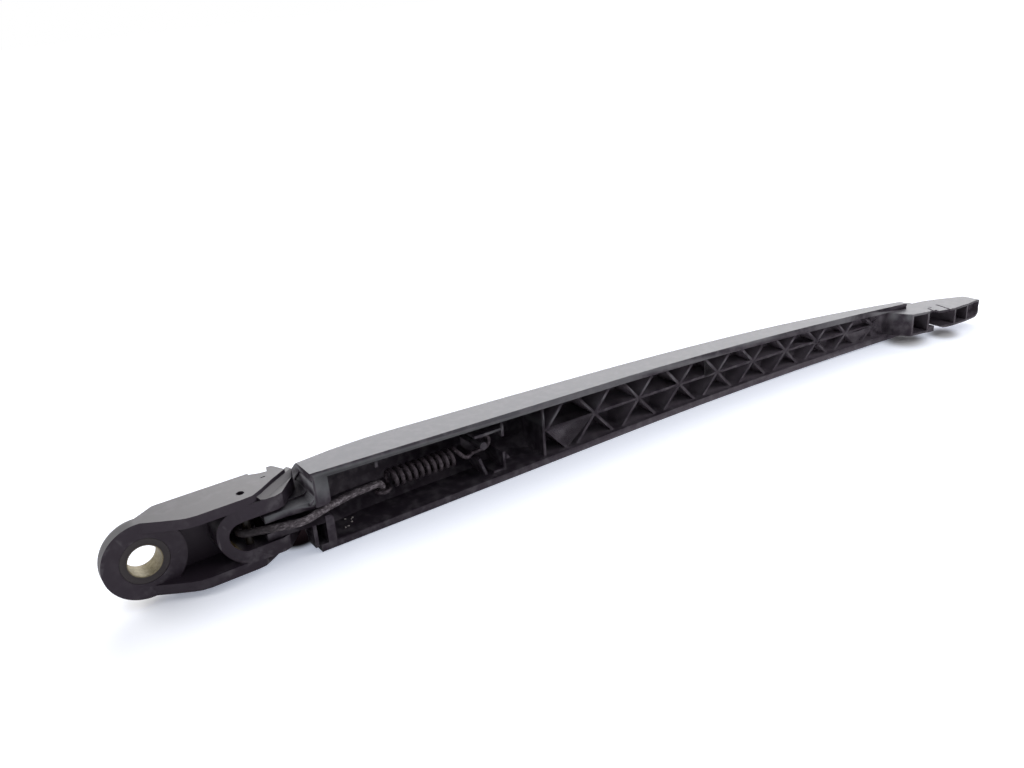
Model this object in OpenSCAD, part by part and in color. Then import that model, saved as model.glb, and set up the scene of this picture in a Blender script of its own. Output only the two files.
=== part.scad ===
/* [Spindle eye] */
// Radius of the round eye that sits on the wiper spindle, and half of the knuckle's width
eye_r = 12.85; // [12.4:0.05:13.3]
// Thickness of the eye, from its seat to the side away from the glass
eye_t = 8.4; // [7.8:0.1:9]
// Rounding of the eye's edge on the side away from the glass
eye_round = 5.5; // [3:0.1:6]
// Radius of the spindle bore in the metal bush
spindle_r = 5.1; // [4:0.1:6]
// Outer radius of the metal bush moulded into the eye
bush_r = 7.6; // [7:0.1:8.4]
// Depth of the bush's far end below the eye's back, where the nut seats
bush_inset = 0.6; // [0.2:0.1:1.2]

/* [Knuckle] */
// Height of the knuckle's rim over the face of the eye, towards the glass
knuckle_rim = 7.4; // [7:0.1:7.8]
// Height of the knuckle's back over the face of the eye, away from the glass
knuckle_back = 10.2; // [9.9:0.1:10.6]
// Place along the arm where the rim reaches its full height
ramp_end = 13; // [12:0.5:15]
// Thickness of the knuckle's side walls
knuckle_wall = 3.5; // [2.5:0.1:4]
// Thickness of the knuckle's back wall under the recess
knuckle_floor = 5.7; // [4:0.1:7]
// Rounding of the knuckle's long back edges
knuckle_round = 2.4; // [1.5:0.1:3]
// Half of the gap between the two ears
ear_gap_half = 5.3; // [5.1:0.05:5.6]
// Half of the width over the stepped-down ears
ear_out_half = 10.2; // [9.8:0.1:10.6]
// Height of the sloping foot under the slanted stop edge
stop_foot_h = 1.3; // [0.8:0.1:1.6]
// Width of that foot across the ear
stop_foot_w = 2.2; // [1.5:0.1:2.6]
// Thickness of the round web between the recess and the ear gap
web_t = 4; // [3:0.1:4.5]
// Depth of the web's edge below the knuckle's rim
web_drop = 3.4; // [2:0.1:4.5]

/* [Hinge and hook pins] */
// Distance of the hinge pin from the spindle, along the arm
hinge_x = 41.5; // [41.2:0.1:41.8]
// Height of the hinge pin over the face of the eye, away from the glass
hinge_y = 2.5; // [2.3:0.1:2.7]
// Radius of the hinge pin
hinge_pin_r = 1.75; // [1.5:0.05:2]
// Length of hinge pin inside each ear
hinge_pin_hold = 3; // [2:0.1:3.6]
// Running clearance between the hinge pin and the ears
hinge_play = 0.05; // [0.02:0.01:0.1]
// Distance of the hook pin from the spindle, along the arm
hook_x = 31.2; // [30.9:0.1:31.4]
// Height of the hook pin over the face of the eye, negative towards the glass
hook_y = -2.9; // [-3.1:0.1:-2.7]
// Radius of the hook pin that the link pulls on
hook_pin_r = 1.25; // [1.1:0.05:1.35]
// Depth of the hook pin's ends below the knuckle's sides
hook_pin_inset = 1; // [0.5:0.1:2]
// Clearance of a pressed pin or bush in the hole that holds it
press_play = 0.01; // [0.005:0.005:0.02]

/* [Arm beam] */
// Place along the arm where its side walls start
beam_start = 52; // [51.9:0.1:52.6]
// Place along the arm where its side walls end
beam_end = 333.5; // [332:0.5:335]
// Half of the beam's width 60 mm from the spindle
beam_half = 14.35; // [14:0.05:14.7]
// Narrowing of the half width for each millimetre along the arm
beam_taper = 0.017; // [0.0165:0.0001:0.0175]
// Growth of that narrowing, in millimetres for each square millimetre
beam_taper_more = 0.00003; // [0.000027:0.000001:0.000033]
// Height of the beam's rim towards the glass, carried back to the spindle
rim_0 = 7.05; // [6.8:0.05:7.3]
// Slope of the rim towards the glass
rim_slope = 0.0455; // [0.045:0.0005:0.047]
// Place along the arm where it starts to bow towards the glass
bow_start = 170; // [165:1:175]
// Bow of the rim, in millimetres for each square millimetre
rim_bow = 0.00036; // [0.00034:0.00001:0.00038]
// Height of the beam's flat side walls 90 mm from the spindle
side_height = 14; // [13.7:0.1:14.4]
// Loss of that height for each millimetre along the arm
side_slope = 0.0245; // [0.0235:0.0005:0.0255]
// Place along the arm where the side walls start to run out
runout_start = 240; // [235:1:245]
// Run-out of the side walls, in millimetres for each square millimetre
runout = 0.00048; // [0.00044:0.00001:0.0005]
// Depth of the bevel between side wall and back where the side walls start
bevel_depth = 8.6; // [8:0.1:9.2]
// Loss of the bevel's depth for each millimetre along the arm
bevel_slope = 0.021; // [0.02:0.0005:0.022]
// Thickness of the beam's side walls
beam_wall = 2.6; // [2.2:0.1:2.8]
// Thickness of the beam's back
beam_floor = 2.2; // [1.8:0.1:2.6]

/* [Hinge end of the arm] */
// Thickness of the bulkhead behind the knuckle
bulkhead_t = 2.9; // [2.4:0.1:3.2]
// Half of the slot that the link passes through
link_slot_half = 1.9; // [1.75:0.05:2.1]
// Side clearance between a tongue of the arm and its ear
tongue_play = 0.3; // [0.2:0.05:0.4]
// Radius of the hinge barrel on the tongues
barrel_r = 6; // [5.6:0.1:6.2]
// Height of the tongues' edge over the face of the eye, towards the glass
tongue_rim = 7.6; // [7.2:0.1:8]
// Reach of the tongues past the hinge pin, towards the spindle
tongue_reach = 5.8; // [5:0.1:6]
// Step between a tongue's edge strip and its side
tongue_step = 0.6; // [0.3:0.1:0.9]
// Width of the tongues' edge strip
tongue_strip = 4.3; // [3.5:0.1:5]

/* [Lattice] */
// Place along the arm of the first full cross rib
cross_rib_x = 142.6; // [141:0.1:143.2]
// Place along the arm where the lattice's first half cross starts
lattice_x = 143.9; // [143.4:0.1:145]
// Spacing of the crosses at the start of the lattice
lattice_pitch = 22.67; // [22.4:0.01:22.8]
// Loss of spacing with each further cross
lattice_shrink = 0.39; // [0.36:0.01:0.42]
// Number of full crosses after the half cross
lattice_count = 9; // [8:1:9]
// Thickness of the lattice ribs
rib_t = 1.1; // [0.8:0.1:1.4]
// Depth of the lattice ribs below the rim
rib_drop = 2.2; // [1:0.1:3]
// Gap at the wall between neighbouring diagonals
rib_gap = 4; // [3:0.1:5]

/* [Spring and its anchor] */
// Radius of the spring wire
spring_wire_r = 0.8; // [0.7:0.05:0.85]
// Mean radius of the spring's coils
coil_r = 2.75; // [2.6:0.05:2.85]
// Number of coils
coil_turns = 11; // [9:1:12]
// Place along the arm of the first coil
coil_start = 81; // [80.8:0.1:81.6]
// Length of the coiled stretch
coil_len = 26; // [25:0.5:27]
// Height of the spring's axis at its first coil, negative towards the glass
coil_y = -4.3; // [-4.6:0.1:-4.2]
// Further drop of the spring's axis along the coiled stretch
coil_drop = 1; // [0.6:0.1:1.4]
// Place along the arm of the moulded anchor post
post_x = 117.4; // [117.2:0.1:117.6]
// Place of the anchor post across the arm
post_z = 1.6; // [1.4:0.1:1.7]
// Radius of the anchor post
post_r = 1.5; // [1.3:0.1:1.6]
// Side clearance of the spring's hook on the post
hook_play = 0.3; // [0.25:0.05:0.4]
// Clearance between hook and post along the arm, taken up as the arm lifts
hook_slack = 2; // [1.9:0.1:2.3]

/* [Link] */
// Radius of the link's wire
link_wire_r = 1.3; // [1.2:0.05:1.35]
// Clearance of the link's hook round the hook pin
link_play = 0.35; // [0.3:0.05:0.45]
// Length of the link's first straight, from its hook to the bow
link_first_run = 13.8; // [13.5:0.1:14]
// Radius of the link's bow under the hinge
link_kink_r = 10; // [9:0.5:11]
// Length of the link's straight between its two bows
link_mid_run = 4.2; // [4:0.1:4.4]
// Radius of the link's long second bow
link_bow_r = 62; // [58:1:66]

/* [Blade connector] */
// Length of the ramp in which the channel runs out before the connector
ramp_len = 10.9; // [10:0.1:12]
// Half of the connector's widest part, at the notch
tip_wide = 5.1; // [4.9:0.1:5.4]
// Half of the width of the connector's end part
tip_end_half = 4.2; // [4:0.1:4.4]
// Thickness of the connector's walls and ribs
tip_wall = 1; // [0.8:0.1:1.2]
// Thickness of the connector's back
tip_back = 1.7; // [1.3:0.1:2]
// Width of the notch that the blade's lock drops into
notch_w = 3.6; // [3:0.1:4]
// Distance of the notch from the foot of the ramp
notch_at = 18; // [17.6:0.1:18.4]
// Depth of the notch
notch_depth = 6.2; // [5:0.1:7]
// Width of the fine slits that free the snap tongue
slit_w = 0.9; // [0.6:0.1:1.1]

/* [Hidden] */

big = 60;
black_plastic = [0.11, 0.11, 0.12];
zinc = [0.72, 0.68, 0.55];
pin_brass = [0.52, 0.44, 0.28];
steel = [0.58, 0.59, 0.60];
worn_wire = [0.45, 0.44, 0.44];
spring_steel = [0.30, 0.29, 0.30];

// Side view in X and Y, laid out over the width from z0 to z1
module side_slab(z0, z1) translate([0, 0, z0]) linear_extrude(height = z1 - z0) children();

// Plan view in X and Z, stood up over the heights from y0 to y1
module plan_slab(y0, y1) translate([0, y0, 0]) rotate([90, 0, 0]) mirror([0, 0, 1]) {
    linear_extrude(height = y1 - y0) children();
}

module both_sides() {
    children();
    mirror([0, 0, 1]) children();
}

// Plan view drawn for the upper half and mirrored to the lower half
module both_halves() {
    children();
    mirror([0, 1]) children();
}

// Straight bar between two points of a plan or side view
module bar(p, q, t) translate(p) rotate(atan2(q[1] - p[1], q[0] - p[0])) {
    translate([0, -t / 2]) square([norm(q - p), t]);
}

// Knuckle
knuckle_in = eye_r - knuckle_wall;
slant_x = 48.4;
back_step_x = 37.4;
spike_x = 44.7;
ear_reach = 9.8;
gap_end_x = hook_x - 1.4;
web_r = ear_gap_half + web_t + 1.1;
recess_floor = knuckle_back - knuckle_floor;

// Side view of the flanks, with the slanted stop edge and the notch in the back
module flank_profile() polygon([
    [0, 0], [1, 0], [6.3, -knuckle_rim + 4.1], [10.8, -knuckle_rim + 1.5], [ramp_end, -knuckle_rim + 0.5],
    [ramp_end + 3, -knuckle_rim], [31, -knuckle_rim], [33.7, -knuckle_rim + 0.3], [35, -knuckle_rim + 1.1],
    [37.6, -knuckle_rim + 2.8], [42.7, -0.7], [slant_x, 2.9], [46.5, 7.2],
    [spike_x, knuckle_back - 0.1], [43.4, knuckle_back - 4.7], [40.6, knuckle_back - 4.1],
    [back_step_x + 0.4, knuckle_back - 2.9], [back_step_x, knuckle_back], [16, knuckle_back],
    [10, knuckle_back - 1], [7, eye_t], [4, eye_t - 2], [1, eye_t - 3.9], [0, eye_t - 4.6]]);

// Side view of the stepped-down ears, kept inside a circle round the hinge pin
module ear_profile() intersection() {
    polygon([
        [24, -knuckle_rim], [hinge_x - 0.9, -knuckle_rim], [hinge_x + 1.6, -knuckle_rim + 0.9],
        [hinge_x + 8.1, hinge_y - 1.4], [hinge_x + 9.8, hinge_y + 2.2], [hinge_x + 9.6, hinge_y + 4],
        [hinge_x + 5.6, hinge_y + 5.6], [hinge_x - 4.1, hinge_y + 5.6], [24, hinge_y + 5.6]]);
    union() {
        translate([hinge_x, hinge_y]) circle(r = ear_reach, $fn = 96);
        translate([0, -big]) square([hinge_x, 2 * big]);
    }
}

// Sloping foot between the slanted stop edge and the ear's face
module stop_foot() intersection() {
    translate([35, -knuckle_rim + 1.1, 0]) rotate([0, 0, atan2(9.2, 13.4)]) rotate([90, 0, 90]) {
        linear_extrude(height = 20) polygon([
            [2, ear_out_half - 1], [2, ear_out_half + stop_foot_h], [0, ear_out_half + stop_foot_h],
            [-stop_foot_w, ear_out_half], [-stop_foot_w, ear_out_half - 1]]);
    }
    side_slab(0, eye_r) ear_profile();
}

// Section across the knuckle, with its long back edges rounded
module knuckle_section() {
    translate([-big, -eye_r]) square([big + knuckle_back - knuckle_round, 2 * eye_r]);
    translate([-big, -eye_r + knuckle_round]) square([big + knuckle_back, 2 * (eye_r - knuckle_round)]);
    for (s = [-1, 1]) translate([knuckle_back - knuckle_round, s * (eye_r - knuckle_round)]) {
        circle(r = knuckle_round, $fn = 48);
    }
}

module eye_turned() rotate([-90, 0, 0]) rotate_extrude($fn = 128) difference() {
    square([eye_r, eye_t]);
    translate([eye_r - eye_round, eye_t - eye_round]) difference() {
        square([eye_round + 1, eye_round + 1]);
        circle(r = eye_round, $fn = 64);
    }
}

module head() color(black_plastic) difference() {
    union() {
        eye_turned();
        intersection() {
            side_slab(-eye_r, eye_r) flank_profile();
            rotate([90, 0, 90]) linear_extrude(height = big) knuckle_section();
        }
        side_slab(-ear_out_half, ear_out_half) ear_profile();
        both_sides() stop_foot();
    }
    // front over the eye's face, between the side walls
    plan_slab(-big, 0) translate([-1, -knuckle_in]) square([ramp_end + 5, 2 * knuckle_in]);
    // recess between the eye's boss and the round web
    plan_slab(-big, recess_floor) difference() {
        translate([0, -knuckle_in]) square([gap_end_x, 2 * knuckle_in]);
        circle(r = eye_r, $fn = 128);
        translate([gap_end_x + 1.6, 0]) circle(r = web_r, $fn = 128);
    }
    // edge of the round web, rising to the full rim at the ears
    side_slab(-knuckle_in, knuckle_in) polygon([
        [ramp_end, -big], [ramp_end, -knuckle_rim + web_drop], [gap_end_x - 8, -knuckle_rim + web_drop],
        [gap_end_x - 1.2, -knuckle_rim], [gap_end_x - 1.2, -big]]);
    // gap between the ears, with its round end behind the hook pin
    plan_slab(-big, hinge_y + 4.4) union() {
        translate([gap_end_x, 0]) circle(r = ear_gap_half, $fn = 96);
        translate([gap_end_x, -ear_gap_half]) square([big, 2 * ear_gap_half]);
    }
    side_slab(-ear_gap_half, ear_gap_half) union() {
        translate([hinge_x, hinge_y]) circle(r = barrel_r + 0.5, $fn = 128);
        translate([back_step_x, 0]) square([big, big]);
    }
    // hole through the flanks for the hook pin, blind holes in the ears for the hinge pin
    side_slab(-big, big) translate([hook_x, hook_y]) circle(r = hook_pin_r + press_play, $fn = 64);
    side_slab(-ear_gap_half - hinge_pin_hold, ear_gap_half + hinge_pin_hold) {
        translate([hinge_x, hinge_y]) circle(r = hinge_pin_r + hinge_play, $fn = 64);
    }
    // seat of the metal bush
    plan_slab(-big, big) circle(r = bush_r + press_play, $fn = 128);
    // fine slot in each flank
    both_sides() translate([hinge_x - 1.5, hinge_y - 0.3, eye_r - 0.8]) cube([1.6, 0.5, big]);
}

module spindle_bush() color(zinc) plan_slab(0, eye_t - bush_inset) difference() {
    circle(r = bush_r, $fn = 128);
    circle(r = spindle_r, $fn = 128);
}

module hook_pin() color(pin_brass) side_slab(-eye_r + hook_pin_inset, eye_r - hook_pin_inset) {
    translate([hook_x, hook_y]) circle(r = hook_pin_r, $fn = 64);
}

hinge_pin_half = ear_gap_half + hinge_pin_hold - 0.2;

module hinge_pin() color(steel) side_slab(-hinge_pin_half, hinge_pin_half) {
    translate([hinge_x, hinge_y]) circle(r = hinge_pin_r, $fn = 64);
}

// Beam: half width, rim, wall height, bevel and back at a place along the arm
crown = 0.5;
bevel_lean = 0.73;
function half_w(x) = beam_half - beam_taper * (x - 60) - beam_taper_more * pow(x - 60, 2);
function rim_y(x) = -rim_0 - rim_slope * x - rim_bow * pow(max(0, x - bow_start), 2);
function wall_end(x) = rim_y(x) + side_height - side_slope * (x - 90)
    - runout * pow(max(0, x - runout_start), 2) - 0.003 * pow(max(0, 90 - x), 2);
function bevel(x) = bevel_depth - bevel_slope * (x - beam_start);
function back_y(x) = wall_end(x) + bevel(x);
function floor_y(x) = back_y(x) - crown - beam_floor;
function inner_w(x) = half_w(x) - beam_wall;

// Outline of the section on one side: wall, bevel with softened ends, then the crowned back
function half_ring(x) = let (w = half_w(x), y = wall_end(x), d = bevel(x), c = bevel_lean) [
    [x, rim_y(x), w], [x, y - 1, w], [x, y + 0.05 * d, w - 0.25], [x, y + 0.22 * d, w - 0.2 * c * d],
    [x, y + 0.8 * d - crown, w - 0.8 * c * d], [x, y + 0.95 * d - crown, w - 1.02 * c * d],
    [x, y + d - crown, w - 1.25 * c * d], [x, y + d - 0.3 * crown, 0.5 * (w - c * d)]];
function mirrored(ring) = [for (i = [len(ring) - 1:-1:0]) [ring[i][0], ring[i][1], -ring[i][2]]];
function beam_ring(x) = concat(half_ring(x), [[x, back_y(x), 0]], mirrored(half_ring(x)));

// Outline of the room inside the channel, grown by a little for what is moulded into it
function room_half(x, grow) = let (w = inner_w(x) + grow, y = wall_end(x) - 1, d = bevel(x)) [
    [x, rim_y(x) - 8, w], [x, y, w], [x, floor_y(x) - 0.4 + grow, w - bevel_lean * d]];
function room_ring(x, grow) = concat(room_half(x, grow), mirrored(room_half(x, grow)));

// Closed skin of triangles over rings that all have the same number of points
module skin(rings) {
    n = len(rings[0]);
    m = len(rings);
    sides = [for (j = [0:m - 2]) for (i = [0:n - 1]) let (k = (i + 1) % n)
        each [[j * n + i, j * n + k, (j + 1) * n + k], [j * n + i, (j + 1) * n + k, (j + 1) * n + i]]];
    front = [for (i = [1:n - 2]) [0, i + 1, i]];
    rear = [for (i = [1:n - 2]) [(m - 1) * n, (m - 1) * n + i, (m - 1) * n + i + 1]];
    polyhedron(points = [for (r = rings) for (p = r) p], faces = concat(front, sides, rear), convexity = 6);
}

beam_steps = 22;
beam_xs = [for (i = [0:beam_steps]) beam_start + (beam_end - beam_start) * i / beam_steps];
ramp_x = beam_end - ramp_len;
bulkhead_x = beam_start + 2.7;
bulkhead_end = bulkhead_x + bulkhead_t;

// Side view between two heights that follow the beam
module along(x0, x1, lift, sink) polygon(concat(
    [for (i = [0:16]) let (x = x0 + (x1 - x0) * i / 16) [x, rim_y(x) + lift]],
    [for (i = [16:-1:0]) let (x = x0 + (x1 - x0) * i / 16) [x, floor_y(x) + sink]]));

// Room inside the channel between two places along the arm
module room(x0, x1, grow) skin([for (i = [0:12]) room_ring(x0 + (x1 - x0) * i / 12, grow)]);

module beam_shell() difference() {
    skin([for (x = beam_xs) beam_ring(x)]);
    room(beam_start - 3, ramp_x + 8, 0);
}

// Lattice of crossed ribs with a rib down the middle
function cross_x(n) = lattice_x + lattice_pitch * n - lattice_shrink * n * n;
lattice_end = cross_x(lattice_count) + 5.6;

module lattice_plan() {
    translate([cross_rib_x - rib_t / 2, -big / 2]) square([rib_t, big]);
    translate([cross_rib_x, -rib_t / 2]) square([ramp_x + 2 - cross_rib_x, rib_t]);
    for (n = [0:lattice_count]) for (s = [-1, 1]) {
        right = n < lattice_count ? (cross_x(n) + cross_x(n + 1) - rib_gap) / 2 : lattice_end;
        left = (cross_x(n) + cross_x(n - 1) + rib_gap) / 2;
        bar([cross_x(n), 0], [right, s * (inner_w(right) + 0.6)], rib_t);
        if (n > 0) bar([cross_x(n), 0], [left, s * (inner_w(left) + 0.6)], rib_t);
    }
}

module lattice() intersection() {
    plan_slab(-big, big) lattice_plan();
    side_slab(-big, big) along(cross_rib_x - 1, ramp_x + 1, rib_drop, 1);
    room(cross_rib_x - 1, ramp_x + 1, 0.6);
}

// Ribs and post that hold the spring's far hook, and the stub ribs beyond it
module anchor() {
    post_rim = rim_y(post_x) + 3.2;
    plan_slab(post_rim, floor_y(post_x) + 1) translate([post_x, post_z]) circle(r = post_r, $fn = 48);
    intersection() {
        plan_slab(-big, big) union() {
            bar([114, post_z + 4.4], [125.5, post_z + 4.4], 1);
            bar([115.2, post_z - 4.4], [117.7, post_z - 11.6], 1);
            translate([125, 3]) square([1.1, 20]);
            translate([125, -23]) square([1.1, 19.8]);
            polygon([[126, -3.2], [128, -6.4], [126, -6.4]]);
            translate([120.6, -10.6]) square([4.6, 1]);
            translate([75.6, 7.4]) square([1.1, 20]);
        }
        side_slab(-big, big) along(70, 130, 3.2, 1);
        room(70, 130, 0.6);
    }
}

// Hinge end: tongues with the barrel between the ears, and the bulkhead they grow from
tongue_half = ear_gap_half - tongue_play;
foot_r = 2;
slot_round = 1.8;
ear_clear = 0.35;
strip_y = -tongue_rim + tongue_strip;

module tongue_profile() {
    translate([hinge_x, hinge_y]) circle(r = barrel_r, $fn = 128);
    polygon([
        [hinge_x - tongue_reach, strip_y], [bulkhead_x + 1, strip_y],
        [bulkhead_x + 1, hinge_y + barrel_r - 0.4],
        [hinge_x + 1.2, hinge_y + barrel_r - 0.12], [hinge_x - 3, hinge_y]]);
}

module strip_profile() polygon([
    [hinge_x - tongue_reach, -tongue_rim], [hinge_x + 1, -tongue_rim - 0.2],
    [bulkhead_x + 1, rim_y(bulkhead_x)],
    [bulkhead_x + 1, strip_y + 0.5], [hinge_x - tongue_reach, strip_y + 0.5]]);

module hinge_end() {
    both_sides() {
        side_slab(link_slot_half, tongue_half) tongue_profile();
        side_slab(link_slot_half, tongue_half - tongue_step) strip_profile();
    }
    // back web that joins the tongues, clear of the link
    side_slab(-tongue_half, tongue_half) intersection() {
        tongue_profile();
        translate([hinge_x - 2, hinge_y + 3.8]) square([big, big]);
    }
    // bulkhead: thick on the upper side, thinner behind an open pocket on the lower side
    intersection() {
        union() {
            plan_slab(-big, big) difference() {
                union() {
                    translate([bulkhead_x - 2.3, link_slot_half]) square([bulkhead_t + 2.3, big]);
                    translate([bulkhead_x, -big]) square([bulkhead_t, big - link_slot_half]);
                }
                both_halves() translate([bulkhead_end - slot_round, link_slot_half - 0.1]) difference() {
                    square([slot_round + 0.1, slot_round + 0.1]);
                    translate([0, slot_round + 0.1]) circle(r = slot_round, $fn = 48);
                }
            }
            plan_slab(strip_y, hinge_y + barrel_r - 0.5) foot(tongue_half);
            plan_slab(-big, strip_y + 0.1) foot(tongue_half - tongue_step);
        }
        side_slab(-big, big) along(beam_start - 2, bulkhead_end + 1, 0, 1);
        room(beam_start - 2, bulkhead_end + 1, 0.6);
    }
    // end wall of the pocket, hollowed so that the ears swing clear of it
    difference() {
        intersection() {
            side_slab(-big, -tongue_half + tongue_step + 0.2) polygon([
                [beam_start - 1.8, -big], [beam_start - 0.6, -big], [beam_start - 0.6, rim_y(beam_start)],
                [beam_start + 0.6, 0], [beam_start + 0.6, big], [beam_start - 1.8, big]]);
            side_slab(-big, big) along(beam_start - 2, bulkhead_end + 1, 0.4, 1);
            room(beam_start - 2, bulkhead_end + 1, 0.6);
        }
        side_slab(-big, -tongue_half) {
            translate([hinge_x, hinge_y]) circle(r = ear_reach + ear_clear, $fn = 128);
        }
    }
}

module foot(half) difference() {
    translate([beam_start + 0.4 - foot_r, half - 1]) square([foot_r + 1, foot_r + 1]);
    translate([beam_start + 0.4 - foot_r, half + foot_r]) circle(r = foot_r, $fn = 64);
}

// Blade connector, drawn from the point where the channel's ramp meets the rim
tip_y = rim_y(ramp_x);
tip_end = 43.3;
tip_nose = 1.5;
tip_root = inner_w(beam_end) + 0.15;
notch_root = -11.9 + notch_depth;

module tip_profile() polygon([
    [-6, 4], [0, 1], [3, -5.4], [5.3, -8.8], [14.3, -11.2], [18.6, -12.3], [24.9, -14.5], [27.8, -15.1],
    [36.4, -15.9], [44, -15.8], [47.6, -15], [50, -12.9], [50, -11.8], [47, -9.9], [34.8, -3.4],
    [27, 0.2], [20.4, 1.9], [ramp_len - 1, back_y(beam_end) - 0.8 - tip_y],
    [-6, back_y(ramp_x) - 1 - tip_y]]);

module tip_inside() polygon([
    [6, -big], [6, -2.3], [15.4, -2.9], [22.4, -3.4], [27, 0.2 - tip_back], [34.8, -3.4 - tip_back],
    [47, -9.9 - tip_back], [50, -12.4], [50, -big]]);

module tip_plan(less) {
    both_halves() polygon([
        [-6, -1], [-6, tip_root + 0.4 - less], [ramp_len, tip_root - less], [14.4, tip_wide - 0.1 - less],
        [18.4, tip_wide - less], [18.4, -1]]);
    translate([17.4, -tip_end_half + less]) square([tip_end - 17.4, 2 * (tip_end_half - less)]);
    polygon([for (a = [-90:7.5:90])
        [tip_end + tip_nose * (tip_end_half - less) * cos(a), (tip_end_half - less) * sin(a)]]);
}

module tip_ribs() for (x = [5.6, 14.1, 28.4, 36.7]) {
    translate([x - tip_wall / 2, -big]) square([tip_wall, 2 * big]);
}

module tip() difference() {
    intersection() {
        side_slab(-big, big) tip_profile();
        plan_slab(-big, big) tip_plan(0);
    }
    intersection() {
        side_slab(-big, big) tip_inside();
        plan_slab(-big, big) difference() {
            tip_plan(tip_wall);
            tip_ribs();
        }
    }
    // notch for the blade's lock, leaving the upper wall whole
    translate([notch_at - notch_w / 2, notch_root - big, -big]) {
        cube([notch_w, big, big + tip_end_half - tip_wall]);
    }
    // rounded start of the end part on the lower side
    plan_slab(-big, notch_root) translate([notch_at + notch_w / 2, -tip_end_half]) difference() {
        translate([-0.1, -1]) square([3.1, 4]);
        translate([3, 3]) circle(r = 3, $fn = 48);
        translate([3, 0]) square([1, 4]);
        translate([-0.1, 3]) square([3.2, 2]);
    }
    // fine slits in the upper wall
    side_slab(tip_end_half - tip_wall - 0.3, big) {
        bar([21.2, -6.2], [17.7, -14.4], slit_w + 0.4);
        bar([17.1, -8.4], [14.7, -14.4], slit_w);
        bar([26.2, -6.6], [24.1, -16.4], slit_w);
    }
}

// Lug left standing beside the notch
module lug() intersection() {
    translate([notch_at - 4.2, -12.5, -tip_wide]) cube([3.8, 6, 2.6]);
    side_slab(-big, big) tip_profile();
}

module arm() color(black_plastic) difference() {
    union() {
        beam_shell();
        hinge_end();
        anchor();
        lattice();
        translate([ramp_x, tip_y, 0]) {
            tip();
            lug();
        }
    }
    side_slab(-big, big) translate([hinge_x, hinge_y]) circle(r = hinge_pin_r + press_play, $fn = 64);
}

// Round wire swept along a path of points, each with a direction square to the wire
function unit(v) = v / norm(v);
function wire_ring(path, i, r, n) = let (
    p = path[i][0],
    t = unit(path[min(i + 1, len(path) - 1)][0] - path[max(i - 1, 0)][0]),
    u = unit(cross(t, path[i][1])),
    v = cross(u, t)) [for (k = [0:n - 1]) p + r * (cos(360 * k / n) * u + sin(360 * k / n) * v)];

module wire(path, r, n) skin([for (i = [0:len(path) - 1]) wire_ring(path, i, r, n)]);

// Link: hook round its pin, then straights and arcs that follow on from each other
link_loop_r = hook_pin_r + link_play + link_wire_r;
link_lead = -20;
link_rise = 20;
link_end_lead = 2;

function flat(x, y, heading) = [[x, y, 0], [-sin(heading), cos(heading), 0]];
function arc(c, r, h0, h1, steps) = [for (i = [0:steps]) let (h = h0 + (h1 - h0) * i / steps)
    flat(c[0] + r * sin(h), c[1] - r * cos(h), h)];
function arc_centre(p, r, h) = [p[0] - r * sin(h), p[1] + r * cos(h)];
function ahead(p, d, h) = [p[0] + d * cos(h), p[1] + d * sin(h)];
function arc_end(p, r, h0, h1) = let (c = arc_centre(p, r, h0)) [c[0] + r * sin(h1), c[1] - r * cos(h1)];

hook_centre = [hook_x, hook_y];
link_p0 = [hook_x + link_loop_r * sin(link_lead), hook_y - link_loop_r * cos(link_lead)];
link_p1 = ahead(link_p0, link_first_run, link_lead);
link_p2 = arc_end(link_p1, link_kink_r, link_lead, link_rise);
link_p3 = ahead(link_p2, link_mid_run, link_rise);
link_p4 = arc_end(link_p3, -link_bow_r, link_rise, link_end_lead);
link_p5 = ahead(link_p4, 3.2, link_end_lead);
link_drop_r = 1.9;
link_tip = 1.9;

link_path = concat(
    arc(hook_centre, link_loop_r, -200, link_lead, 12),
    arc(arc_centre(link_p1, link_kink_r, link_lead), link_kink_r, link_lead, link_rise, 6),
    arc(arc_centre(link_p3, -link_bow_r, link_rise), -link_bow_r, link_rise, link_end_lead, 6),
    [for (a = [0:15:90])
        [[link_p5[0] + link_drop_r * sin(a), link_p5[1], -link_drop_r * (1 - cos(a))], [0, 1, 0]]],
    [[[link_p5[0] + link_drop_r, link_p5[1], -link_drop_r - link_tip], [0, 1, 0]]]);

module link() color(worn_wire) wire(link_path, link_wire_r, 16);

// Spring: near hook round the link's turned end, coils, then the hook round the anchor post
near_x = link_p5[0] + link_drop_r;
near_y = link_p5[1];
near_z = -coil_r;
near_r = link_wire_r + 0.2 + spring_wire_r;
far_r = post_r + hook_play + spring_wire_r;
far_x = post_x + hook_slack + post_r + spring_wire_r - far_r;
far_y = -5.8;
coil_steps = 18;
coil_end = coil_start + coil_len;
coil_end_y = coil_y - coil_drop;

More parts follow.
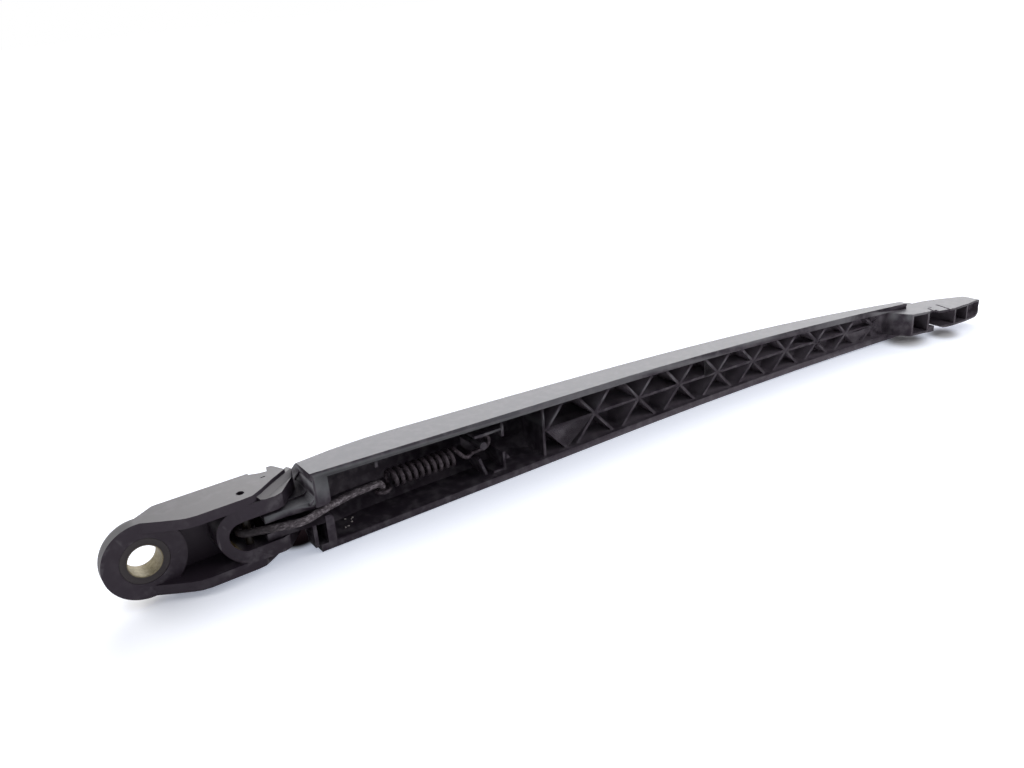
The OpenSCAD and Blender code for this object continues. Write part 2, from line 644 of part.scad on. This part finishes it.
near_path = concat(
    [for (a = [60:20:260]) [[near_x + near_r * cos(a), near_y + near_r * sin(a), near_z], [0, 0, 1]]],
    [for (a = [0:18:72]) let (
        x = near_x + (coil_start - near_x) * sin(a),
        y = coil_y + (near_y - near_r - coil_y) * cos(a)) [[x, y, near_z], [0, 0, 1]]]);
coil_path = [for (i = [0:(coil_turns - 0.5) * coil_steps]) let (
    a = 90 + 360 * i / coil_steps,
    t = i / ((coil_turns - 0.5) * coil_steps))
    [[coil_start + coil_len * t, coil_y - coil_drop * t - coil_r * cos(a), -coil_r * sin(a)],
        [0, cos(a), sin(a)]]];
far_path = concat(
    [for (a = [20:20:80]) let (
        x = coil_end + 3.4 * pow(a / 90, 2),
        y = coil_end_y - coil_r * sin(a),
        z = coil_r - (coil_r + far_r - post_z) * (1 - cos(a))) [[x, y, z], [0, -sin(a), cos(a)]]],
    [for (q = [[4.6, -1.9], [6, -0.9], [8, -0.2]])
        [[coil_end + q[0], far_y + q[1], post_z - far_r], [0, -1, 0]]],
    [for (a = [-90:20:90]) [[far_x + far_r * cos(a), far_y, post_z + far_r * sin(a)], [0, -1, 0]]],
    [[[post_x - 0.5, far_y, post_z + far_r], [0, -1, 0]]]);
spring_path = concat(near_path, coil_path, far_path);

module spring() color(spring_steel) wire(spring_path, spring_wire_r, 10);

head();
spindle_bush();
hook_pin();
hinge_pin();
arm();
link();
spring();
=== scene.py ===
import math

import bmesh
import bpy
from mathutils import Matrix, Vector


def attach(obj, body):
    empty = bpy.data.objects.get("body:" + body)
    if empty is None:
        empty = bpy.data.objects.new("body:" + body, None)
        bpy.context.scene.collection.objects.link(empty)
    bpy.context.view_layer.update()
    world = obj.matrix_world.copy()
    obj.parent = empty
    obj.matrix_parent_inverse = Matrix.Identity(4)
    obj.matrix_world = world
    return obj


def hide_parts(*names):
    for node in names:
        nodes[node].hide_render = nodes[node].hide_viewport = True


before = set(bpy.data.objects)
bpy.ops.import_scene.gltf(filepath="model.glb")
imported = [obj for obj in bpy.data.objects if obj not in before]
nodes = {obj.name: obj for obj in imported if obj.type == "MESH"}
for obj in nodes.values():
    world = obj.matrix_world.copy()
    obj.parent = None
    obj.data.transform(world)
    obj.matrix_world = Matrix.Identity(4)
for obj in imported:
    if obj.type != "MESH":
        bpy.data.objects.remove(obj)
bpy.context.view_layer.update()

MM = 0.001

# Head: the knuckle that sits on the wiper spindle, with its round eye, recess and two ears.
# One moulding in black glass-filled polyester (PBT), a fine spark-eroded grain on its outside.
# The bevel stands for the small radius that every edge of a moulding has.


def linear(hex_colour):
    """sRGB hex colour as linear RGBA."""
    parts = [int(hex_colour[i:i + 2], 16) / 255 for i in (1, 3, 5)]
    return (*[c / 12.92 if c <= 0.04045 else ((c + 0.055) / 1.055) ** 2.4 for c in parts], 1.0)


def add(tree, kind, links=None, **settings):
    """One node with its settings; links gives its inputs, as sockets or plain values."""
    node = tree.nodes.new(kind)
    for name, value in settings.items():
        setattr(node, name, value)
    for name, value in (links or {}).items():
        if isinstance(value, bpy.types.NodeSocket):
            tree.links.new(value, node.inputs[name])
        else:
            node.inputs[name].default_value = value
    return node


def new_material(name):
    """An empty material: itself, its tree and its output node."""
    material = bpy.data.materials.new(name)
    material.use_nodes = True
    material.node_tree.nodes.clear()
    return material, material.node_tree, material.node_tree.nodes.new("ShaderNodeOutputMaterial")


def ramp(tree, factor, stops):
    """Colour from a ramp of (position, hex colour) stops."""
    node = add(tree, "ShaderNodeValToRGB", {"Fac": factor})
    while len(node.color_ramp.elements) < len(stops):
        node.color_ramp.elements.new(0.5)
    for element, (position, colour) in zip(node.color_ramp.elements, stops):
        element.position = position
        element.color = linear(colour)
    return node.outputs["Color"]


def noise(tree, place, scale, detail=2.0, roughness=0.5):
    """Cloudy noise; scale counts its features in a metre."""
    return add(tree, "ShaderNodeTexNoise", {"Vector": place, "Scale": scale, "Detail": detail,
                                            "Roughness": roughness}).outputs["Fac"]


def remap(tree, value, low, high, at_low, at_high, curve="LINEAR"):
    """at_low where the value is low, at_high where it is high, and between them in between."""
    return add(tree, "ShaderNodeMapRange", {
        "Value": value, "From Min": low, "From Max": high, "To Min": at_low, "To Max": at_high},
        interpolation_type=curve).outputs["Result"]


def step(tree, value, low, high):
    """0 at low and 1 at high, smooth between them."""
    return remap(tree, value, low, high, 0.0, 1.0, "SMOOTHSTEP")


def near(tree, place, centre, inner, outer):
    """1 within inner of a point, 0 beyond outer, all in millimetres."""
    apart = add(tree, "ShaderNodeVectorMath", {0: place, 1: [MM * c for c in centre]},
                operation="DISTANCE").outputs["Value"]
    return remap(tree, apart, inner * MM, outer * MM, 1.0, 0.0, "SMOOTHSTEP")


def maths(tree, operation, a, b):
    """Two values through one Math node."""
    return add(tree, "ShaderNodeMath", {0: a, 1: b}, operation=operation).outputs[0]


def times(tree, a, b):
    """The product of two values."""
    return maths(tree, "MULTIPLY", a, b)


def less(tree, a, b):
    """The first value with the second taken away."""
    return maths(tree, "SUBTRACT", a, b)


def blend(tree, factor, a, b):
    """Colour a turning to colour b as factor rises."""
    return add(tree, "ShaderNodeMix", {0: factor, "A": a, "B": b}, data_type="RGBA").outputs["Result"]


def dusty_plastic(name, shade, dust_and_glare, dust_and_glare_amount, yellow_grease=None, black_grease_and_shade=None):
    """Moulded black PBT: spark-eroded grain, a pale film of dust and painted glare on what faces up
    in the open, painted fill light deep in the lattice, edges rubbed pale.

    shade is a pair of hex colours, between which the moulding is clouded. A grease, or the black
    grease with its painted shade, is given by the point, in millimetres, round which it lies.
    """
    material, tree, output = new_material(name)
    place = add(tree, "ShaderNodeTexCoord").outputs["Object"]
    along, _, height = add(tree, "ShaderNodeSeparateXYZ", {"Vector": place}).outputs
    geometry = add(tree, "ShaderNodeNewGeometry").outputs
    facing_x, _, facing_z = add(tree, "ShaderNodeSeparateXYZ", {"Vector": geometry["Normal"]}).outputs

    # faint clouds from handling, about 20 mm across
    cloud = noise(tree, place, 45.0, detail=3.0)
    colour = ramp(tree, cloud, [(0.35, shade[0]), (0.65, shade[1])])
    rough = remap(tree, cloud, 0.3, 0.7, 0.42, 0.45)
    shine = 0.34

    # a pale film on what faces up as the arm lies, in the open only: dust, and painted glare from the
    # window
    nothing_within = 8 * MM
    open_air = add(tree, "ShaderNodeAmbientOcclusion", {"Distance": nothing_within},
                   samples=8).outputs["AO"]
    up = times(tree, step(tree, facing_z, 0.0, 0.9), step(tree, open_air, 0.35, 0.75))
    up = times(tree, up, step(tree, height, 1 * MM, 3.5 * MM))
    dust_and_glare_film = remap(tree, cloud, 0.3, 0.7, 0.9 * dust_and_glare_amount, dust_and_glare_amount)
    colour = blend(tree, times(tree, up, dust_and_glare_film), colour, linear(dust_and_glare))

    # painted fill light: deep in the lattice, towards the blade end, the recesses are paled as if lit
    painted_fill_amount = 0.6
    inside = less(tree, 1.0, step(tree, open_air, 0.3, 0.95))
    painted_fill_deep = times(tree, step(tree, along, 110 * MM, 190 * MM), painted_fill_amount)
    colour = blend(tree, times(tree, inside, painted_fill_deep), colour, linear("#857c86"))

    # edges rubbed to a paler grey
    rub_amount = 0.22
    rub = noise(tree, place, 300.0, detail=3.0)
    worn = times(tree, step(tree, geometry["Pointiness"], 0.52, 0.6), step(tree, rub, 0.4, 0.7))
    colour = blend(tree, times(tree, worn, rub_amount), colour, linear("#7d7a7e"))

    if yellow_grease:
        # old grease round the hook pin, yellow-brown and smoother where it is thick
        smear = noise(tree, place, 260.0, detail=4.0)
        thick = times(tree, near(tree, place, yellow_grease, 2.6, 6.5), step(tree, smear, 0.3, 0.55))
        thick = times(tree, thick, step(tree, facing_x, 0.2, 0.6))
        colour = blend(tree, thick, colour, linear("#574824"))
        rough = less(tree, rough, times(tree, thick, 0.18))
    if black_grease_and_shade:
        # black grease and dirt with painted shade on the barrel between the tongues, matt and below
        # their upper side
        black = times(tree, near(tree, place, black_grease_and_shade, 4.6, 7.0),
                      step(tree, height, 3.2 * MM, 2.0 * MM))
        colour = blend(tree, black, colour, linear("#100d0f"))
        shine = times(tree, less(tree, 1.0, black), shine)

    # spark-eroded grain is about 0.1 mm; it is drawn at 0.35 mm so that it shows
    grain = noise(tree, place, 2800.0)
    grain_depth = 0.05 * MM
    bump = add(tree, "ShaderNodeBump", {"Height": grain, "Strength": 0.15, "Distance": grain_depth})
    shader = add(tree, "ShaderNodeBsdfPrincipled", {
        "Base Color": colour, "Roughness": rough, "Specular IOR Level": shine,
        "Specular Tint": linear("#faeefa"), "Normal": bump.outputs["Normal"]})
    tree.links.new(shader.outputs["BSDF"], output.inputs["Surface"])
    return material


def finish_mesh(piece):
    """The evaluated mesh as the piece's own, with no modifiers left."""
    graph = bpy.context.evaluated_depsgraph_get()
    mesh = bpy.data.meshes.new_from_object(piece.evaluated_get(graph))
    piece.modifiers.clear()
    piece.data = mesh
    return piece


def moulded_copy(node_name, name, radius):
    """A merged copy of a CAD node with its edges rounded; it stands for the node."""
    weld_distance = 0.002 * MM
    flat_below, sharp_above = math.radians(0.6), math.radians(28)
    mesh = nodes[node_name].data.copy()
    mesh.materials.clear()
    bm = bmesh.new()
    bm.from_mesh(mesh)
    bmesh.ops.remove_doubles(bm, verts=bm.verts, dist=weld_distance)
    bmesh.ops.dissolve_limit(bm, angle_limit=flat_below, verts=bm.verts, edges=bm.edges)
    for face in bm.faces:
        face.smooth = True
    bm.to_mesh(mesh)
    bm.free()
    piece = bpy.data.objects.new(name, mesh)
    bpy.context.scene.collection.objects.link(piece)
    bevel = piece.modifiers.new("edge radius", "BEVEL")
    bevel.width = radius
    bevel.segments = 2
    bevel.limit_method = "ANGLE"
    bevel.angle_limit = sharp_above
    bevel.miter_outer = "MITER_ARC"
    bevel.use_clamp_overlap = True
    bevel.harden_normals = True
    weighted = piece.modifiers.new("flat faces stay flat", "WEIGHTED_NORMAL")
    weighted.keep_sharp = True
    finished = finish_mesh(piece)
    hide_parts(node_name)
    return finished


def dress(piece, material, body):
    """Finish of a piece: its material and the body it rides."""
    piece.data.materials.clear()
    piece.data.materials.append(material)
    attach(piece, body)


grease_by_hook_pin = (24.5, -4.0, -1.0)
head_plastic = dusty_plastic("PBT black, moulded, head", ("#231d24", "#272129"), "#8f908e", 0.38,
                             yellow_grease=grease_by_hook_pin)
head = moulded_copy("head", "knuckle", 0.35 * MM)
dress(head, head_plastic, "head")

# Spindle bush: the metal sleeve moulded into the eye, where the spindle sits.
# Zinc casting with a plated skin that has yellowed; black dirt lies where it meets the plastic.


def metal(name, stops, spot_scale, rough_range, bump_depth, metallic, stretch=1.0, dirt=None,
          grease=None):
    """A used metal: colour through spots of wear or plating, roughness that follows them.

    stretch below 1 draws the spots out along X; dirt is the pair of radii, round Y, between which
    black dirt closes over the metal; grease is the point round which it is darkened by black grease
    and painted shade.
    """
    material, tree, output = new_material(name)
    place = add(tree, "ShaderNodeTexCoord").outputs["Object"]
    drawn = add(tree, "ShaderNodeMapping", {"Vector": place, "Scale": (stretch, 1.0, 1.0)})
    spots = noise(tree, drawn.outputs["Vector"], spot_scale, detail=8.0, roughness=0.7)
    colour = ramp(tree, spots, stops)
    if dirt:
        across = add(tree, "ShaderNodeMapping", {"Vector": place, "Scale": (1.0, 0.0, 1.0)})
        radius = add(tree, "ShaderNodeVectorMath", {0: across.outputs["Vector"]}, operation="LENGTH")
        cover = step(tree, radius.outputs["Value"], dirt[0] * MM, dirt[1] * MM)
        colour = blend(tree, times(tree, step(tree, cover, 0.01, 0.2), 0.96), colour,
                       linear("#262027"))
        metallic = times(tree, less(tree, 1.0, cover), metallic)
    if grease:
        # black grease and painted shade round the given point
        colour = blend(tree, times(tree, near(tree, place, grease, 4.0, 17.0), 0.85), colour,
                       linear("#1a1517"))
    rough = remap(tree, spots, 0.35, 0.65, *rough_range)
    bump = add(tree, "ShaderNodeBump", {"Height": spots, "Strength": 0.6, "Distance": bump_depth})
    shader = add(tree, "ShaderNodeBsdfPrincipled", {
        "Base Color": colour, "Roughness": rough, "Metallic": metallic,
        "Specular IOR Level": 0.4, "Normal": bump.outputs["Normal"]})
    tree.links.new(shader.outputs["BSDF"], output.inputs["Surface"])
    return material


zinc = metal("Zinc, yellow passivated, dirty",
             [(0.35, "#6f674f"), (0.5, "#8a8066"), (0.65, "#a0967e")],
             spot_scale=900.0, rough_range=(0.45, 0.6), bump_depth=0.03 * MM, metallic=0.3,
             dirt=(4.9, 7.2))
bush = moulded_copy("spindle_bush", "spindle_bush_sleeve", 0.25 * MM)
dress(bush, zinc, "head")

# Hook pin: a thin steel pin pressed across the knuckle, that the link pulls on.
# It sits in old yellow-brown grease with rust beneath it.
hook_pin_at = (31.2, -2.9)
hook_pin_r = 1.25
greasy_steel = metal("Steel, rusted, in old grease",
                     [(0.35, "#0e0b0b"), (0.52, "#1c1713"), (0.7, "#3c3022")],
                     spot_scale=700.0, rough_range=(0.25, 0.6), bump_depth=0.08 * MM, metallic=0.2)
hook_pin = moulded_copy("hook_pin", "link_hook_pin", 0.2 * MM)
dress(hook_pin, greasy_steel, "head")

# Hinge pin: the steel pin pressed through the arm's barrel, so that it turns in the ears.
# What shows of it between the tongues is black: old grease, and painted shade.
drawn_steel = metal("Steel, drawn, greasy",
                    [(0.35, "#141113"), (0.55, "#29242a"), (0.75, "#59534c")],
                    spot_scale=500.0, rough_range=(0.3, 0.5), bump_depth=0.02 * MM, metallic=0.3)
hinge_pin = moulded_copy("hinge_pin", "hinge_pin_rod", 0.2 * MM)
dress(hinge_pin, drawn_steel, "arm")

# Arm: the long channel with hinge tongues, bulkhead, crossed ribs, anchor post and blade connector.
# One moulding in the same black PBT as the head, its upper side paled by dust and by painted glare.
# black grease and painted shade on the barrel between the tongues
grease_and_shade_on_barrel = (38.5, 2.5, -2.0)
arm_plastic = dusty_plastic("PBT black, moulded, arm", ("#241e26", "#29232b"), "#8e9294", 0.42,
                            black_grease_and_shade=grease_and_shade_on_barrel)
arm = moulded_copy("arm", "arm_channel", 0.3 * MM)
dress(arm, arm_plastic, "arm")

# Grit: a few pale crumbs of dried road dirt on the inside of the lower side wall, just past the
# bulkhead. A Geometry Nodes group sets one crumb of its own size and turn on each point.


def new_group(name, taken, size_name, made):
    """A Geometry Nodes group with its sockets: itself, what it is given, size and material socket."""
    group = bpy.data.node_groups.new(name, "GeometryNodeTree")
    sockets = group.interface
    sockets.new_socket(taken, in_out="INPUT", socket_type="NodeSocketGeometry")
    size = sockets.new_socket(size_name, in_out="INPUT", socket_type="NodeSocketFloat")
    material = sockets.new_socket("Material", in_out="INPUT", socket_type="NodeSocketMaterial")
    sockets.new_socket(made, in_out="OUTPUT", socket_type="NodeSocketGeometry")
    return group, add(group, "NodeGroupInput").outputs, size.identifier, material.identifier


def close_group(group, given, geometry):
    """The end of a group: real geometry in the given material goes out."""
    solid = add(group, "GeometryNodeRealizeInstances", {"Geometry": geometry})
    solid = add(group, "GeometryNodeSetMaterial", {"Geometry": solid.outputs["Geometry"],
                                                   "Material": given["Material"]})
    group.links.new(solid.outputs["Geometry"], add(group, "NodeGroupOutput").inputs[0])


def grit_group():
    """Geometry Nodes group: a small rough crumb on every point that comes in."""
    group, given, size, material = new_group("crumbs on points", "Points", "Crumb radius", "Crumbs")
    size_seed, turn_seed = 4, 9
    crumb = add(group, "GeometryNodeMeshIcoSphere", {"Radius": given["Crumb radius"],
                                                     "Subdivisions": 2})
    shape = add(group, "FunctionNodeRandomValue", {"Seed": size_seed}, data_type="FLOAT_VECTOR")
    shape.inputs["Min"].default_value = (0.5, 0.45, 0.4)
    shape.inputs["Max"].default_value = (1.2, 1.0, 0.7)
    turn = add(group, "FunctionNodeRandomValue", {"Seed": turn_seed}, data_type="FLOAT_VECTOR")
    turn.inputs["Max"].default_value = (0.4, 0.4, 6.28)
    crumbs = add(group, "GeometryNodeInstanceOnPoints", {
        "Points": given["Points"], "Instance": crumb.outputs["Mesh"],
        "Scale": shape.outputs["Value"], "Rotation": turn.outputs["Value"]})
    close_group(group, given, crumbs.outputs["Instances"])
    return group, size, material


def nodes_piece(name, points, edges, group, size, material):
    """A piece that a Geometry Nodes group makes from points and edges given in millimetres."""
    mesh = bpy.data.meshes.new(name)
    mesh.from_pydata([[MM * c for c in point] for point in points], edges, [])
    piece = bpy.data.objects.new(name, mesh)
    bpy.context.scene.collection.objects.link(piece)
    modifier = piece.modifiers.new("shape", "NODES")
    modifier.node_group, size_socket, material_socket = group
    modifier[size_socket] = size * MM
    modifier[material_socket] = material
    return finish_mesh(piece)


dried_dirt, tree, output = new_material("Road dirt, dried, pale")
speckle = noise(tree, add(tree, "ShaderNodeTexCoord").outputs["Object"], 2500.0)
shader = add(tree, "ShaderNodeBsdfPrincipled", {
    "Base Color": ramp(tree, speckle, [(0.3, "#8f8886"), (0.7, "#ded9d6")]), "Roughness": 0.8})
tree.links.new(shader.outputs["BSDF"], output.inputs["Surface"])

crumb_radius = 0.42
crumb_places = [(65.15, 0.1, -11.55), (66.8, -1.3, -11.55), (66.2, -3.0, -11.55),
                (64.1, -4.7, -11.6), (62.9, -4.9, -11.6), (67.6, -0.6, -11.55)]
grit = nodes_piece("road_grit", crumb_places, [], grit_group(), crumb_radius, dried_dirt)
dress(grit, dried_dirt, "arm")

# Link: 2.6 mm galvanised wire, hooked round its pin, bowed under the hinge and turned down at its
# end, with the zinc worn and speckled along its whole length. A Geometry Nodes group draws the wire
# along a path; the path is the same chain of straights and arcs as in the part's source.


def wire_group():
    """Geometry Nodes group: a path of edges becomes a smooth round wire with closed ends."""
    group, given, size, material = new_group("round wire along a path", "Path", "Wire radius", "Wire")
    point_spacing = 0.3 * MM
    curve = add(group, "GeometryNodeMeshToCurve", {"Mesh": given["Path"]})
    curve = add(group, "GeometryNodeCurveSplineType", {"Curve": curve.outputs["Curve"]},
                spline_type="CATMULL_ROM")
    curve = add(group, "GeometryNodeResampleCurve", {"Curve": curve.outputs["Curve"],
                                                     "Length": point_spacing}, mode="LENGTH")
    profile = add(group, "GeometryNodeCurvePrimitiveCircle", {"Resolution": 20,
                                                              "Radius": given["Wire radius"]})
    tube = add(group, "GeometryNodeCurveToMesh", {"Curve": curve.outputs["Curve"], "Fill Caps": True,
                                                  "Profile Curve": profile.outputs["Curve"]})
    close_group(group, given, tube.outputs["Mesh"])
    return group, size, material


def round_wire(name, path, radius, material):
    """A wire of the given radius along a path in millimetres, its ends cut flat."""
    edges = [(i, i + 1) for i in range(len(path) - 1)]
    piece = nodes_piece(name, path, edges, wire_group(), radius, material)
    for polygon in piece.data.polygons:
        polygon.use_smooth = len(polygon.vertices) == 4
    return piece


def radians(first, last, degrees):
    """Angles from first to last, so many degrees apart, in radians."""
    return [math.radians(angle) for angle in range(first, last + 1, degrees)]


def arc(centre, radius, start, end, steps):
    """Points of an arc in the arm's middle plane, by the heading of the wire in degrees."""
    headings = [math.radians(start + (end - start) * i / steps) for i in range(steps + 1)]
    return [(centre[0] + radius * math.sin(h), centre[1] - radius * math.cos(h), 0.0)
            for h in headings]


def arc_from(point, radius, start, end, steps):
    """An arc that goes on from a point with the heading start, without the point itself."""
    h = math.radians(start)
    centre = (point[0] - radius * math.sin(h), point[1] + radius * math.cos(h))
    return arc(centre, radius, start, end, steps)[1:]


def straight(point, length, heading, steps):
    """Points of a straight that goes on from a point, without the point itself."""
    h = math.radians(heading)
    return [(point[0] + length * i / steps * math.cos(h),
             point[1] + length * i / steps * math.sin(h), 0.0) for i in range(1, steps + 1)]


link_play = 0.35
link_wire_r = 1.3
first_run, kink_r, mid_run, bow_r, last_run = 13.8, 10.0, 4.2, 62.0, 3.2
hook_start, lead, rise, end_lead = -200, -20, 20, 2
turn_r = 1.9
tip_depths = (0.7, 1.3, 1.9)

# headings and angles are in degrees; the last number of each call is its count of points
link_path = arc(hook_pin_at, hook_pin_r + link_play + link_wire_r, hook_start, lead, 14)
link_path += straight(link_path[-1], first_run, lead, 16)
link_path += arc_from(link_path[-1], kink_r, lead, rise, 9)
link_path += straight(link_path[-1], mid_run, rise, 5)
link_path += arc_from(link_path[-1], -bow_r, rise, end_lead, 22)
link_path += straight(link_path[-1], last_run, end_lead, 4)
turn = link_path[-1]
link_path += [(turn[0] + turn_r * math.sin(a), turn[1], -turn_r * (1 - math.cos(a)))
              for a in [math.radians(90 * i / 4) for i in range(1, 5)]]
link_path += [(turn[0] + turn_r, turn[1], -turn_r - depth) for depth in tip_depths]

# the link darkens towards its hook: black grease and painted shade
worn_zinc = metal("Steel wire, worn galvanising",
                  [(0.36, "#2c272b"), (0.5, "#524b50"), (0.64, "#8d868b")],
                  spot_scale=1300.0, rough_range=(0.5, 0.75), bump_depth=0.1 * MM, metallic=0.35,
                  stretch=0.5, grease=(31.0, -3.0, 0.0))
link = round_wire("link_wire", link_path, link_wire_r, worn_zinc)
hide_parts("link")
dress(link, worn_zinc, "link")

# Spring: 1.6 mm oil-hardened spring wire, ten and a half coils between two hooks, dark and dusty.
# Its near hook goes round the link's turned end and its far hook round the arm's anchor post, with
# room there for the stretch of the real spring.
spring_wire_r = 0.8
coil_r = 2.75
coil_turns = 10.5
coil_x, coil_length = 81.0, 26.0
coil_y, coil_drop = -4.3, 1.0
post_x, post_z, post_r = 117.4, 1.6, 1.5
hook_gap = 0.2
hook_play, hook_slack = 0.3, 2.0
hook_end_x = post_x - 0.5
degrees_apart = 20

# the near hook, and the wire's way from it to the coil
near_x, near_y = link_path[-1][0], link_path[-1][1]
near_r = link_wire_r + hook_gap + spring_wire_r
spring_path = [(near_x + near_r * math.cos(a), near_y + near_r * math.sin(a), -coil_r)
               for a in radians(60, 260, degrees_apart)]
spring_path += [(near_x + (coil_x - near_x) * math.sin(a),
                 coil_y + (near_y - near_r - coil_y) * math.cos(a), -coil_r)
                for a in radians(0, 72, 18)]

# the coil, that drops a little on its way
coil_points = round(coil_turns * 360 / degrees_apart)
for i in range(coil_points + 1):
    done = i / coil_points
    turned = math.radians(90 + degrees_apart * i)
    spring_path.append((coil_x + coil_length * done,
                        coil_y - coil_drop * done - coil_r * math.cos(turned),
                        -coil_r * math.sin(turned)))

# the bend out of the coil, the way to the post and the far hook round it
far_r = post_r + hook_play + spring_wire_r
far_x = post_x + hook_slack + post_r + spring_wire_r - far_r
far_y = -5.8
bend_length = 3.4
coil_end, coil_end_y = coil_x + coil_length, coil_y - coil_drop
spring_path += [(coil_end + bend_length * (2 * a / math.pi) ** 2, coil_end_y - coil_r * math.sin(a),
                 coil_r - (coil_r + far_r - post_z) * (1 - math.cos(a)))
                for a in radians(20, 80, degrees_apart)]
spring_path += [(coil_end + past, far_y + drop, post_z - far_r)
                for past, drop in ((4.6, -1.9), (6, -0.9), (8, -0.2))]
spring_path += [(far_x + far_r * math.cos(a), far_y, post_z + far_r * math.sin(a))
                for a in radians(-90, 90, degrees_apart)]
spring_path += [(hook_end_x, far_y, post_z + far_r)]

dark_wire = metal("Spring steel, oiled",
                  [(0.36, "#2c252a"), (0.54, "#433b41"), (0.72, "#6f676d")],
                  spot_scale=900.0, rough_range=(0.42, 0.6), bump_depth=0.05 * MM, metallic=0.5)
spring = round_wire("tension_spring", spring_path, spring_wire_r, dark_wire)
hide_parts("spring")
dress(spring, dark_wire, "link")

# Floor: a white surface with a faint bluish glow of its own, so that it stays white, and painted
# shadows round the arm; the glow's tint makes the shade bluish. The arm rests on the bulge of its
# lower side wall, so the floor lies at a small angle to the arm's middle plane.
rest_x, rest_z = 150.0, -12.62
floor_slope = 0.0226
reach = 6000.0


def on_floor(x, y):
    """A point on the floor, in millimetres."""
    return x, y, rest_z + floor_slope * (x - rest_x)


floor_mesh = bpy.data.meshes.new("floor")
floor_mesh.from_pydata([[MM * c for c in on_floor(x, y)] for x, y in
                        ((-reach, -reach), (reach, -reach), (reach, reach), (-reach, reach))],
                       [], [(0, 1, 2, 3)])
floor = bpy.data.objects.new("floor", floor_mesh)
bpy.context.scene.collection.objects.link(floor)
floor_white, tree, output = new_material("White tile, plain")
seen = add(tree, "ShaderNodeLightPath").outputs["Is Camera Ray"]
place = add(tree, "ShaderNodeNewGeometry").outputs["Position"]
# painted shadows, drawn for the arm at rest: deep shade on the floor in the gap under the hinge,
# half-shade by the eye and below the connector
painted_gap_shade = near(tree, place, on_floor(50.0, 6.5), 6.0, 10.0)
painted_shade_by_eye = near(tree, place, on_floor(-7.0, -5.0), 5.0, 45.0)
painted_shadow_under_eye = near(tree, place, on_floor(-2.5, 7.0), 2.0, 10.0)
painted_shadow_under_tip = maths(tree, "ADD", near(tree, place, on_floor(330.0, -34.6), 4.0, 13.0),
                  near(tree, place, on_floor(347.4, -42.4), 2.5, 9.5))
around = near(tree, place, on_floor(rest_x, 0.0), 350.0, 1500.0)
# painted shadow below the connector: the tile turns grey
tile = blend(tree, times(tree, painted_shadow_under_tip, 0.42), linear("#f0f0f2"), linear("#6b6668"))
# painted deep shade in the gap under the hinge: the tile turns near black
diffuse = add(tree, "ShaderNodeBsdfDiffuse", {"Color": blend(tree, painted_gap_shade, tile, linear("#1d1518"))})
strength = less(tree, 1.13, times(tree, around, 0.7))
# the glow is taken away under each painted shadow, and wholly in the gap
for shade, amount in ((painted_shade_by_eye, 0.2), (painted_shadow_under_eye, 0.3), (painted_shadow_under_tip, 0.43)):
    strength = less(tree, strength, times(tree, shade, amount))
strength = times(tree, strength, less(tree, 1.0, painted_gap_shade))
glow = add(tree, "ShaderNodeEmission", {"Color": linear("#e4ecff"), "Strength": strength})
both = add(tree, "ShaderNodeAddShader", {0: diffuse.outputs[0], 1: glow.outputs[0]})
mixed = add(tree, "ShaderNodeMixShader", {0: seen, 1: diffuse.outputs[0], 2: both.outputs[0]})
tree.links.new(mixed.outputs[0], output.inputs["Surface"])
floor_mesh.materials.append(floor_white)

# Light: a bright sky-like ceiling, one broad soft window behind the arm, whose glare lies on the
# side that faces up, and two weak soft boxes that fill the shade. The backdrop is plain white.
world = bpy.data.worlds.new("studio")
bpy.context.scene.world = world
world.use_nodes = True
tree = world.node_tree
ceiling = tree.nodes["Background"]
ceiling.inputs["Color"].default_value = linear("#f2f4f7")
ceiling.inputs["Strength"].default_value = 0.48
backdrop = add(tree, "ShaderNodeBackground", {"Color": linear("#ffffff"), "Strength": 1.0})
seen = add(tree, "ShaderNodeLightPath").outputs["Is Camera Ray"]
mixed = add(tree, "ShaderNodeMixShader", {0: seen, 1: ceiling.outputs[0], 2: backdrop.outputs[0]})
tree.links.new(mixed.outputs[0], tree.nodes["World Output"].inputs["Surface"])


def softbox(name, place, aim, size, power):
    """An area lamp of the given width and height at place, in metres, turned towards aim."""
    lamp = bpy.data.lights.new(name, "AREA")
    lamp.shape = "RECTANGLE"
    lamp.size, lamp.size_y = size
    lamp.energy = power
    stand = bpy.data.objects.new(name, lamp)
    stand.location = place
    stand.rotation_euler = (Vector(aim) - Vector(place)).to_track_quat("-Z", "Y").to_euler()
    bpy.context.scene.collection.objects.link(stand)


softbox("window", place=(1.35, 1.1, 0.9), aim=(0.2, 0, 0), size=(2.7, 1.3), power=42.0)
softbox("fill", place=(-0.95, 0.5, 0.9), aim=(0.05, 0, 0), size=(1.2, 1.0), power=13.0)
softbox("front right", place=(1.1, -0.7, 0.6), aim=(0.4, 0, 0), size=(1.0, 1.0), power=5.5)

# Camera: where the photograph was taken from, close to the head and looking along the arm. Place
# and turn were fitted to the eye, the rims and the hinge as the photograph shows them.
camera_data = bpy.data.cameras.new("camera")
camera_data.sensor_width = 36.0
camera_data.lens = 33.4
camera_data.clip_start = 0.01
camera = bpy.data.objects.new("camera", camera_data)
camera.matrix_world = Matrix((
    (0.81498835, 0.27662953, -0.50918572, -0.04105),
    (-0.57527834, 0.28064834, -0.7683042, -0.26958),
    (-0.0696335, 0.91908249, 0.3878641, 0.15304),
    (0, 0, 0, 1)))
bpy.context.scene.collection.objects.link(camera)
bpy.context.scene.camera = camera
bpy.context.scene.view_settings.view_transform = "Standard"
